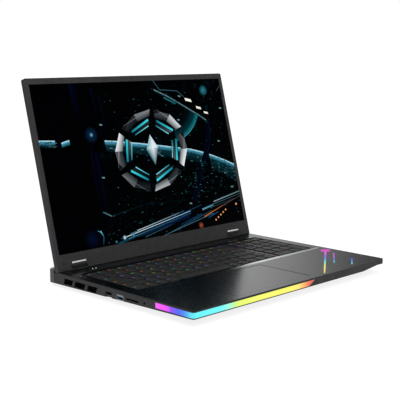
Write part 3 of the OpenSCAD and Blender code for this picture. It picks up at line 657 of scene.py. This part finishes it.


# Painted reflections on the palm rest, drawn as glowing streaks: start, end, width and the colours from
# start to end.
REFLECTION_STREAKS = [
    ((184, 96.4), (64, 6.5), 3.2, [
        (236, 70, 222), (232, 84, 224), (150, 80, 230), (70, 120, 240), (96, 214, 226),
        (170, 236, 150), (250, 236, 100), (252, 232, 96), (240, 190, 70)]),
    ((179, 77), (126, 36), 2.4, [(196, 60, 190), (190, 80, 220), (80, 110, 236), (90, 214, 226)]),
    ((170, 36), (137, 12), 2.6, [(60, 70, 200), (60, 130, 236), (120, 230, 226)]),
    ((189, 64), (184, 60), 2.0, [(66, 60, 120), (60, 70, 130)]),
    ((194, 36), (188, 32), 2.2, [(140, 60, 120), (120, 56, 110)]),
]
# Middle, the two half axes and the colour of the round spot of painted reflection at the top of the first
# streak.
REFLECTED_SPOT = ((184.2, 96.7), (6.2, -5.1), (8.0, 6.4), (204, 44, 184))


def build_painted_reflections(bm):
    """Glowing coloured streaks of painted reflection on the palm rest, each a little narrower at its end."""
    layer = bm.verts.layers.float_color.new("paint")
    z = DECK_Z - 0.02
    for (x0, y0), (x1, y1), width, colours in REFLECTION_STREAKS:
        run = Vector((x1 - x0, y1 - y0)).normalized()
        side = Vector((-run.y, run.x)) * width / 2
        count = len(colours) - 1
        sections = []
        for i, colour in enumerate(colours):
            share = i / count
            centre = Vector((x0 + (x1 - x0) * share, y0 + (y1 - y0) * share))
            half = side * (1 - 0.35 * share)
            sections.append((centre - half, centre + half, colour))
        strip(bm, layer, sections, z)
    centre, long_axis, cross_axis, colour = (Vector(v) for v in REFLECTED_SPOT)
    sections = []
    for step in range(9):
        share = -math.cos(math.pi * (0.04 + 0.92 * step / 8))
        half = cross_axis * math.sqrt(1 - share * share)
        middle = centre + long_axis * share
        sections.append((middle - half, middle + half, colour))
    strip(bm, layer, sections, z + 0.01)


# ---- Screen picture ----

class Picture:
    """Thin lit plates in front of the panel.

    u runs to the right from the picture's middle, and v up from its lower edge.
    """
    LAYER = 0.06
    THICK = 0.05
    # How far a shape may reach past the picture's edge, under the frame.
    MARGIN = 1

    def __init__(self, bm):
        self.bm = bm
        self.layer = bm.verts.layers.float_color.new("paint")
        self.depth = PANEL_Y

    def raise_layer(self):
        """The next shapes lie in front of the ones before."""
        self.depth -= self.LAYER

    def corner(self, point, colour, depth):
        """A painted vertex, kept inside the picture's edge."""
        limit = PICTURE_W / 2 + self.MARGIN
        u = max(-limit, min(limit, point[0]))
        v = max(-self.MARGIN, min(PICTURE_H + self.MARGIN, point[1]))
        vertex = self.bm.verts.new((u, depth, PICTURE_Z + v))
        vertex[self.layer] = (*linear(colour), 1)
        return vertex

    def shape(self, points, colours):
        """One flat shape. colours is one colour, or one for each point."""
        if isinstance(colours[0], (int, float)):
            colours = [colours] * len(points)
        bridge(self.bm, [[self.corner(p, c, depth) for p, c in zip(points, colours)]
                         for depth in (self.depth, self.depth - self.THICK)])

    def beam(self, start, end, width, colour, end_colour=None):
        """A straight bar between two points, fading from one colour to the other."""
        run = Vector((end[0] - start[0], end[1] - start[1])).normalized()
        side = Vector((-run.y, run.x)) * width / 2
        a, b = Vector(start), Vector(end)
        tail = end_colour or colour
        self.shape([a + side, a - side, b - side, b + side], [colour, colour, tail, tail])

    def line(self, points, width, colour):
        """A bar through several points."""
        for first, second in zip(points, points[1:]):
            self.beam(first, second, width, colour)

    def arc_band(self, centre, inner, outer, start, end, inner_colour, outer_colour, steps=24, taper=False):
        """A band along an arc, with a colour on each edge. A tapered one thins out at both ends."""
        def at(radius, angle):
            return (centre[0] + radius * math.cos(angle), centre[1] + radius * math.sin(angle))

        for i in range(steps):
            angles = [math.radians(start + (end - start) * k / steps) for k in (i, i + 1)]
            shares = [math.sin(math.pi * k / steps) if taper else 1 for k in (i, i + 1)]
            inners = [outer - (outer - inner) * max(share, 0.02) for share in shares]
            corners = [at(outer, angles[0]), at(inners[0], angles[0]), at(inners[1], angles[1]),
                       at(outer, angles[1])]
            self.shape(corners, [outer_colour, inner_colour, inner_colour, outer_colour])

    def disc(self, centre, radius, inner_colour, outer_colour, steps=20):
        """A round spot that fades from its middle to its edge."""
        self.arc_band(centre, radius * 0.02, radius, 0, 360, inner_colour, outer_colour, steps)


NIGHT = (1, 3, 7)
TEAL = (26, 116, 126)
CYAN = (60, 214, 224)
ICE = (186, 224, 234)
AMBER = (214, 112, 58)

# The bright edge of the large planet, from left to right, and the depth of the sea below it.
HORIZONS = (
    [(-196, 166, 10), (-180, 165, 12), (-167, 164, 12)],
    [(-156, 160, 6), (-148, 162, 5), (-141, 163, 4)],
    [(-76, 158, 18), (-48, 155, 20), (0, 148, 20), (44, 141, 20), (99, 132, 22), (129, 124, 24)],
    [(140, 120, 26), (149, 117, 28), (175, 107, 30), (196, 98, 34)],
)


# Bands below that edge: upper and lower depth, or 0 for the sea's own, and the colours at both.
HORIZON_BANDS = (
    (0, 2.2, ICE, (104, 180, 208)), (2.2, 7.5, (70, 146, 172), (18, 62, 72)), (7.5, 0, (14, 50, 57), NIGHT),
)


def paint_horizon(art):
    """The large planet's bright edge, with clouds scattered below it."""
    for points in HORIZONS:
        for (u0, v0, deep0), (u1, v1, deep1) in zip(points, points[1:]):
            for top, low, upper, lower in HORIZON_BANDS:
                low0, low1 = low or deep0, low or deep1
                art.shape([(u0, v0 - top), (u0, v0 - low0), (u1, v1 - low1), (u1, v1 - top)],
                          [upper, lower, lower, upper])
    art.raise_layer()
    rng = random.Random(5)
    for _ in range(300):
        points = HORIZONS[rng.choice((0, 2, 2, 2, 3, 3))]
        k = rng.randrange(len(points) - 1)
        share = rng.random()
        u, v, deep = (points[k][i] + (points[k + 1][i] - points[k][i]) * share for i in range(3))
        slope = (points[k + 1][1] - points[k][1]) / (points[k + 1][0] - points[k][0])
        v -= 2 + (deep - 2) * rng.random()
        w, h = rng.uniform(1, 5), rng.uniform(0.4, 1.3)
        level = rng.random() ** 2
        colour = (4 + 96 * level, 14 + 140 * level, 20 + 144 * level)
        art.shape([(u, v), (u + w, v + slope * w), (u + w, v + slope * w + h), (u, v + h)], colour)


# Dim shafts of light: left edge, width, lower and upper end, colour at the upper end.
SHAFTS = (
    (-122, 5, 190, 247, (5, 14, 40)), (-114, 3, 170, 247, (4, 10, 28)), (-158, 8, 60, 247, (2, 4, 12)),
    (-84, 4, 190, 240, (4, 11, 30)), (-96, 5, 20, 140, (4, 12, 34)), (-70, 3, 150, 226, (4, 12, 30)),
)


def paint_backdrop(art):
    """Shafts, a bright horizon, two planets and girders."""
    for u, width, low, high, colour in SHAFTS:
        corners = [(u, low), (u + width, low), (u + width - 3, high), (u - 3, high)]
        art.shape(corners, [NIGHT, NIGHT, colour, colour])
    art.disc((-99, 168), 13, (16, 44, 72), NIGHT)
    art.raise_layer()
    art.disc((-99, 168), 3.4, (120, 168, 190), (22, 56, 86))
    paint_horizon(art)
    for inner, outer, dim, bright in ((40, 60, NIGHT, (3, 16, 20)), (60, 72, (3, 16, 20), (8, 48, 54)),
                                      (72, 80, (8, 48, 54), TEAL)):
        art.arc_band((60, 226), inner, outer, -81, -30, dim, bright)
    art.arc_band((60, 226), 79, 80.2, -84, -31, TEAL, (84, 180, 186), taper=True)
    art.disc((153, 228), 9, (44, 122, 134), (8, 38, 48))
    art.disc((-131, 14), 14, (8, 20, 42), (3, 7, 16))
    art.raise_layer()
    # Frame and girders at the right.
    art.line([(150, 178), (142, 138), (114, 92), (86, 46)], 9, (4, 8, 20))
    art.raise_layer()
    art.line([(154, 180), (146, 138), (118, 92), (90, 44)], 1, (10, 24, 50))
    art.line([(146, 176), (137, 139), (109, 92), (82, 48)], 0.8, (7, 17, 38))
    art.line([(43, 248), (54, 232), (92, 229), (105, 219)], 1.3, (46, 82, 92))
    art.line([(42, 232), (69, 220), (92, 208), (134, 185), (148, 176)], 3, (30, 66, 74))
    art.line([(42, 232.8), (69, 221), (92, 209), (134, 186), (148, 177)], 1.1, (122, 156, 162))
    art.line([(60, 219), (84, 208)], 2.2, (30, 104, 114))
    art.line([(184, 226), (197, 236)], 1.2, (44, 70, 76))
    for u, v, w, h in ((114, 213, 7.6, 2.6), (135, 199, 5.8, 2.1), (150, 190, 4.8, 1.8)):
        corners = [(u - w, v + h * 1.5), (u - w * 0.8, v - h * 0.4), (u + w, v - h * 1.5),
                   (u + w * 0.8, v + h * 0.3)]
        art.shape(corners, (244, 242, 226))


# Light trails: start, end, width, colour at the start and at the end.
TRAILS = [
    ((-40, 7), (70, 24), 4.6, (14, 38, 58), (8, 22, 52)),
    ((-84, 0), (-40, 9), 4, (20, 66, 84), (12, 40, 60)),
    ((-71, 8), (74, 31), 1.1, (206, 224, 232), (124, 170, 206)),
    ((-64, 5), (74, 27.4), 1.4, (70, 122, 150), (32, 70, 104)),
    ((-58, 12), (60, 33), 0.8, (84, 134, 152), (50, 92, 120)),
    ((-44, 15), (48, 31), 1.0, (190, 206, 214), (96, 130, 150)),
    ((-30, 3), (30, 15), 0.8, (60, 104, 120), (30, 60, 80)),
    ((5, -1), (125, 21), 1.0, (84, 124, 140), (60, 94, 110)),
    ((20, 2), (122, 26), 0.8, (52, 100, 120), (40, 76, 96)),
    ((48, 12), (98, 23), 2, (14, 38, 66), (20, 60, 92)),
    ((60, 30), (101, 38), 1.2, (26, 62, 94), (20, 54, 78)),
    ((101, 30), (128, 35), 2.6, (88, 148, 168), (70, 120, 140)),
    ((130, 40), (196, 51), 1.5, (132, 160, 166), (96, 126, 132)),
    ((128, 36), (196, 46.5), 0.9, (70, 98, 108), (50, 78, 88)),
    ((120, 31), (196, 42), 0.8, (46, 74, 84), (36, 60, 66)),
    ((103, 18), (149, 31), 1.3, (206, 116, 64), (140, 78, 44)),
    ((149, 31), (196, 43), 0.9, (112, 72, 50), (70, 56, 48)),
    ((112, 15), (136, 22), 1.6, (20, 62, 106), (24, 76, 114)),
    ((-103, 51), (-88, 43), 1.5, (70, 110, 116), (84, 124, 128)),
    ((-88, 43), (-20, 53), 0.8, (18, 48, 54), (10, 28, 34)),
    ((-20, 53), (70, 50), 0.8, (10, 28, 34), (8, 22, 26)),
    ((-114, 24), (-110, 15), 1.8, (96, 190, 212), (24, 84, 120)),
    ((-119, 25), (-112, 21), 1.1, (40, 120, 150), (90, 180, 200)),
    ((-110, 14), (-113, 3), 1.4, (30, 96, 130), (10, 40, 70)),
]


def paint_trails(art):
    """Light trails and lamps along the lower edge."""
    for start, end, width, colour, tail in TRAILS:
        art.beam(start, end, width, colour, tail)
    art.raise_layer()
    for k in range(5):
        art.disc((128 + k * 6.6, 9.5 + k * 3.5), 1.7, (250, 208, 150), AMBER, 8)
    art.disc((182, 30), 2, (250, 222, 176), AMBER, 8)
    art.disc((92, 5), 5.5, (156, 76, 54), (46, 18, 12), 12)
    art.disc((-71, 8), 3.6, (200, 230, 236), (26, 84, 104), 12)
    art.disc((-53, 10), 2.6, (110, 190, 206), (18, 60, 80), 10)
    art.disc((-88, 4), 2.4, (60, 130, 150), (10, 40, 56), 10)


# Scattered panels: how many, left edge, lower and upper edge, greatest width, darkest colour and gain.
SCATTER = (
    (420, -72, 46, 236, 3.4, (3, 9, 11), (56, 92, 96)),
    (220, -104, 4, 56, 6.5, (4, 10, 12), (50, 84, 92)),
    (240, 60, 58, 112, 4.5, (3, 14, 16), (48, 122, 122)),
)
SCATTER_RIGHT = 192
# Places of the larger lit panels.
LAMPS = ((95, 220), (84, 181), (-78, 182), (-91, 102), (78, 43), (180, 60), (168, 140), (186, 196))


def paint_details(art):
    """Small lit panels scattered over the station."""
    rng = random.Random(11)
    for count, left, low, high, most, base, gain in SCATTER:
        for _ in range(count):
            u, v = rng.uniform(left, SCATTER_RIGHT), rng.uniform(low, high)
            w, h = rng.uniform(0.7, most), rng.uniform(0.4, 1.4)
            level = rng.random() ** 3.4
            lean = (0.2 if low < 20 else rng.uniform(-0.35, 0.1)) * w
            colour = [b + g * level for b, g in zip(base, gain)]
            art.shape([(u, v), (u + w, v + lean), (u + w, v + lean + h), (u, v + h)], colour)
    for u, v in LAMPS:
        corners = [(u - 2.6, v + 1.3), (u - 2, v - 0.7), (u + 2.8, v - 1.3), (u + 2.2, v + 0.8)]
        art.shape(corners, (110, 146, 150))


# The ring: its middle, the brightness of each of its six pieces, and the angles of the first one.
RING_CENTRE = (16, 136)
RING_LIGHTS = (205, 120, 228, 96, 168, 236)
RING_START = 31
RING_END = 84


def paint_ring(art):
    """A plain faceted ring round a cut stone, in the middle of the picture."""
    centre = Vector(RING_CENTRE)

    def at(radius, angle):
        spoke = Vector((math.cos(math.radians(angle)), math.sin(math.radians(angle))))
        return centre + Vector((spoke.x * radius * 1.12 + spoke.y * radius * 0.16, spoke.y * radius * 0.96))

    for k, light in enumerate(RING_LIGHTS):
        start, end = 60 * k + RING_START, 60 * k + RING_END
        middle = start + 26
        bright, dim, dark = ([light * s, light * s + 5, light * s + 9] for s in (1, 0.38, 0.1))
        art.shape([at(68, start), at(57, start + 2), at(55, middle), at(68, middle)],
                  [bright, dim, dim, bright])
        art.shape([at(68, middle), at(55, middle), at(53, end - 2), at(66, end)], [dim, dark, dark, dim])
        art.shape([at(56, start + 3), at(44, start + 5), at(43, end - 5), at(52, end - 3)],
                  [dark, dim, dark, (14, 18, 22)])
    art.raise_layer()
    for k, light in enumerate(RING_LIGHTS):
        start, end = 60 * k + RING_START, 60 * k + RING_END
        edge = min(light + 30, 250)
        art.beam(at(51, start + 5), at(49, end - 6), 3.4, CYAN, (20, 110, 130))
        art.beam(at(41, start + 6), at(41, end - 6), 1.6, (120, 224, 232), (24, 130, 146))
        art.beam(at(67.4, start + 1), at(67.4, end - 4), 0.8, (edge, edge, edge), (70, 78, 84))
        art.shape([at(68, end), at(60, end - 1), at(66, end - 12)], (24, 28, 32))
    stone = [centre + Vector(p) for p in ((0, 25), (13, 3), (1, -24), (-12, 1))]
    facets = ((206, 222, 228), (84, 100, 110), (30, 96, 110), (140, 176, 186))
    for k, colour in enumerate(facets):
        art.shape([centre + Vector((2, 4)), stone[k], stone[(k + 1) % 4]], [(226, 240, 244), colour, colour])


def build_picture(bm):
    """The scene on the screen, from back to front."""
    art = Picture(bm)
    art.raise_layer()
    paint_backdrop(art)
    paint_details(art)
    art.raise_layer()
    paint_trails(art)
    art.raise_layer()
    paint_ring(art)


# ---- Small parts ----

def build_gasket(bm):
    """Dark soft strip between the frame and the panel."""
    low_v, high_v = PICTURE_Z, PICTURE_Z + PICTURE_H
    half = PICTURE_W / 2
    y0, y1 = PANEL_Y - 0.34, PANEL_Y
    rings = []
    for inset, y in ((0, y0), (0.12, y0), (0.2, y1), (0, y1)):
        rings.append([bm.verts.new((u, y, v)) for u, v in (
            (-half + inset, low_v + inset), (half - inset, low_v + inset),
            (half - inset, high_v - inset), (-half + inset, high_v - inset))])
    rings.append(rings[0])
    bridge(bm, rings, closed=False)


# Height of the camera's hole up the lid.
LENS_Z = 271.9


def build_lens(bm):
    """Camera lens behind the frame's middle hole."""
    centre, forward = (0, BEZEL_Y + 0.6, LENS_Z), (0, -1, 0)
    lathe(bm, [(0.2, 0.0), (1.42, 0.0), (1.42, 0.3), (1.2, 0.42), (1.1, 0.3), (0.2, 0.3)], centre, forward)
    lathe(bm, [(0.05, 0.1), (1.0, 0.1), (0.85, 0.3), (0.5, 0.42), (0.05, 0.46)], centre, forward, material=1)


# Distance of the middle of the side USB sockets from the front edge, and the pitch of their contacts.
USB_Y = 138
CONTACT_PITCH = 2.9


def build_usb_tongue(side):
    """Blue tongue with bright contacts, over the shell's own. side is -1 at the left and 1 at the right."""
    node = "usb_port_left" if side < 0 else "usb_ports_right"
    low, high = base_box(node)
    mouth = low.x if side < 0 else high.x
    z = (low.z + high.z) / 2 + 0.4

    def build(bm):
        x0, x1 = sorted((mouth - side * 0.9, mouth - side * 12.4))
        block(bm, (x0, USB_Y - 5.8, z - 0.06), (x1, USB_Y + 5.8, z + 1.98), 0.25)
        for k in range(4):
            y = USB_Y + (k - 1.5) * CONTACT_PITCH
            c0, c1 = sorted((mouth - side * 1.6, mouth - side * 9.5))
            block(bm, (c0, y - 0.5, z - 0.14), (c1, y + 0.5, z + 0.1), 0.03, 1)

    return build


def make_small_parts():
    """Pieces that only the looks have."""
    make_piece("screen_gasket", "lid", LID, ["gasket"], build_gasket)
    make_piece("camera_lens", "lid", LID, ["socket", "glass"], build_lens)
    make_piece("usb_tongue_left", "base", BASE, ["blue", "gold"], build_usb_tongue(-1))
    make_piece("usb_tongue_right", "base", BASE, ["blue", "gold"], build_usb_tongue(1))
    make_piece("keyboard_lip", "base", BASE, ["lip"], build_lip, 20)
    make_piece("keyboard_rim", "base", BASE, ["lip"], build_rim, 20)
    make_piece("deck_edge_joint", "base", BASE, ["gasket"], build_edge_line)
    make_piece("touchpad_seam_shade", "base", BASE, ["gasket"], build_seam_shade)
    make_piece("palm_rest_painted_reflections", "base", BASE, ["streak"], build_painted_reflections)
    make_piece("screen_picture", "lid", LID, ["picture"], build_picture)


# ---- Studio ----

FLOOR_HALF_M = 30
# Soft panels: strength, then azimuths and heights where each starts, is full, starts to fade and ends.
PANELS = (
    (1.8, (0, 40, 45.5, 57), (-0.15, 0.42, 0.5, 0.85)),
    (1.25, (46, 52, 62, 74), (0.31, 0.38, 0.46, 0.7)),
    (0.5, (-400, -300, 300, 400), (0.8, 0.95, 2, 3)),
)
ROOM_LEVEL = 0.035
CAMERA_AT_M = (-0.95865, -0.94412, 0.33296)
CAMERA_TURN = (80.67, 0, -45.005)
CAMERA_LENS = 83.14
CAMERA_SENSOR = 36
CAMERA_SHIFT = (-0.00174, 0.00272)


def make_floor():
    """White floor. Part of its light is its own, which keeps the shadows pale."""
    mesh = bpy.data.meshes.new("floor")
    half = FLOOR_HALF_M
    corners = [(-half, -half, 0), (half, -half, 0), (half, half, 0), (-half, half, 0)]
    mesh.from_pydata(corners, [], [(0, 1, 2, 3)])
    floor = bpy.data.objects.new("floor", mesh)
    bpy.context.scene.collection.objects.link(floor)
    material = finish("floor_paper", (120, 120, 120), 0.9, grain=60, depth=0.0, mottle=0.004, specular=0.0)
    shader = shader_of(material)
    shader.inputs["Emission Color"].default_value = (1, 1, 1, 1)
    shader.inputs["Emission Strength"].default_value = 0.84
    mesh.materials.append(material)


def make_lamps():
    """A wide soft sun that throws no highlight, and a weak panel from the front left."""
    sun = bpy.data.lights.new("overhead", "SUN")
    sun.energy = 3.3
    sun.angle = math.radians(100)
    overhead = bpy.data.objects.new("overhead", sun)
    overhead.rotation_euler = (math.radians(8), math.radians(-6), 0)
    overhead.visible_glossy = False
    bpy.context.scene.collection.objects.link(overhead)
    panel = bpy.data.lights.new("front_fill", "AREA")
    panel.shape = "RECTANGLE"
    panel.size, panel.size_y = 1.6, 1.2
    panel.energy = 26
    fill = bpy.data.objects.new("front_fill", panel)
    fill.location = (-1.6, -2.2, 1.3)
    fill.rotation_euler = (Vector((0, 0, 0.1)) - fill.location).to_track_quat("-Z", "Y").to_euler()
    fill.visible_camera = False
    bpy.context.scene.collection.objects.link(fill)


def soft_lobe(world, value, points):
    """A smooth rise and fall of a value between the four points."""
    product = add_node(world, "ShaderNodeMath", operation="MULTIPLY")
    sides = ((points[0], points[1], 0, 1), (points[2], points[3], 1, 0))
    for target, (start, end, low, high) in zip(product.inputs, sides):
        part = add_node(world, "ShaderNodeMapRange", interpolation_type="SMOOTHSTEP",
                        From_Min=start, From_Max=end, To_Min=low, To_Max=high)
        join(world, value, part.inputs["Value"])
        join(world, part.outputs["Result"], target)
    return product.outputs[0]


def make_room():
    """White to the camera. Elsewhere a dim room with soft panels behind the laptop's right side."""
    world = bpy.data.worlds.new("studio")
    bpy.context.scene.world = world
    world.use_nodes = True
    world.node_tree.nodes.clear()
    place = add_node(world, "ShaderNodeTexCoord")
    axes = add_node(world, "ShaderNodeSeparateXYZ")
    join(world, place.outputs["Generated"], axes.inputs[0])
    azimuth = add_node(world, "ShaderNodeMath", operation="ARCTAN2")
    join(world, axes.outputs["X"], azimuth.inputs[0])
    join(world, axes.outputs["Y"], azimuth.inputs[1])
    total = None
    for strength, across, upwards in PANELS:
        panel = add_node(world, "ShaderNodeMath", operation="MULTIPLY")
        join(world, soft_lobe(world, azimuth.outputs[0], [math.radians(a) for a in across]), panel.inputs[0])
        join(world, soft_lobe(world, axes.outputs["Z"], upwards), panel.inputs[1])
        level = add_node(world, "ShaderNodeMath", operation="MULTIPLY_ADD")
        join(world, panel.outputs[0], level.inputs[0])
        level.inputs[1].default_value = strength
        level.inputs[2].default_value = ROOM_LEVEL
        if total:
            join(world, total, level.inputs[2])
        total = level.outputs[0]
    room = add_node(world, "ShaderNodeBackground")
    join(world, total, room.inputs["Strength"])
    backdrop = add_node(world, "ShaderNodeBackground", Color=(1, 1, 1, 1))
    path = add_node(world, "ShaderNodeLightPath")
    mix = add_node(world, "ShaderNodeMixShader")
    out = add_node(world, "ShaderNodeOutputWorld")
    join(world, path.outputs["Is Camera Ray"], mix.inputs["Fac"])
    join(world, room.outputs[0], mix.inputs[1])
    join(world, backdrop.outputs[0], mix.inputs[2])
    join(world, mix.outputs[0], out.inputs["Surface"])


def make_camera():
    """The photograph's view: from the front left, a little above the deck."""
    data = bpy.data.cameras.new("camera")
    data.lens = CAMERA_LENS
    data.sensor_width = CAMERA_SENSOR
    data.shift_x, data.shift_y = CAMERA_SHIFT
    data.clip_start = 0.01
    camera = bpy.data.objects.new("camera", data)
    camera.location = CAMERA_AT_M
    camera.rotation_euler = [math.radians(a) for a in CAMERA_TURN]
    bpy.context.scene.collection.objects.link(camera)
    bpy.context.scene.camera = camera


bpy.context.scene.view_settings.view_transform = "Standard"
make_camera()
dress_nodes()
make_keys()
make_small_parts()
make_floor()
make_lamps()
make_room()
